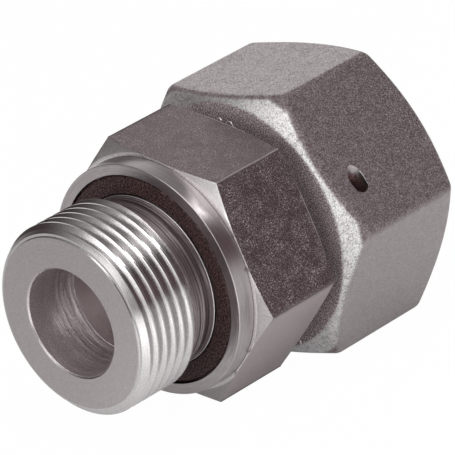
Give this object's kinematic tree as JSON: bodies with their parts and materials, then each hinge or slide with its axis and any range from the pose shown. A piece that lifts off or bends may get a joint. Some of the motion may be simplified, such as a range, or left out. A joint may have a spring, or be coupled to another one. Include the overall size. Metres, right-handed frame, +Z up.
{
  "type": "swivel adapter",
  "caption": "Straight hydraulic adapter: threaded port stud with a soft seal and a hexagon, joined by a wire to a swivelling union nut round a coned end with an O-ring.",
  "frame": {"origin": "on the surface that the adapter lies on, under the axis and the middle of the length", "axes": "+X along the axis from the stud to the mouth of the nut, +Z up, with the nut on one of its flats"},
  "size_m": [0.0674, 0.0528, 0.046],
  "materials": {
    "body_steel": "turned satin on round faces, fine blasted grain on the flats",
    "nut_steel": "forged and blasted, even grain",
    "wire_steel": "drawn wire, smooth",
    "seal_rubber": "moulded elastomer, dark brown-black",
    "ring_rubber": "moulded elastomer, black"
  },
  "bodies": {
    "fitting": {"body": "body_steel", "stud_seal": "seal_rubber", "cone_o_ring": "ring_rubber"},
    "nut": {"swivel_nut": "nut_steel", "retaining_wire": "wire_steel"}
  },
  "joints": [
    {"name": "nut_swivel", "type": "hinge", "parent": "fitting", "child": "nut", "pos_m": [0, 0, 0.023], "axis": [1, 0, 0], "continuous": true}
  ]
}
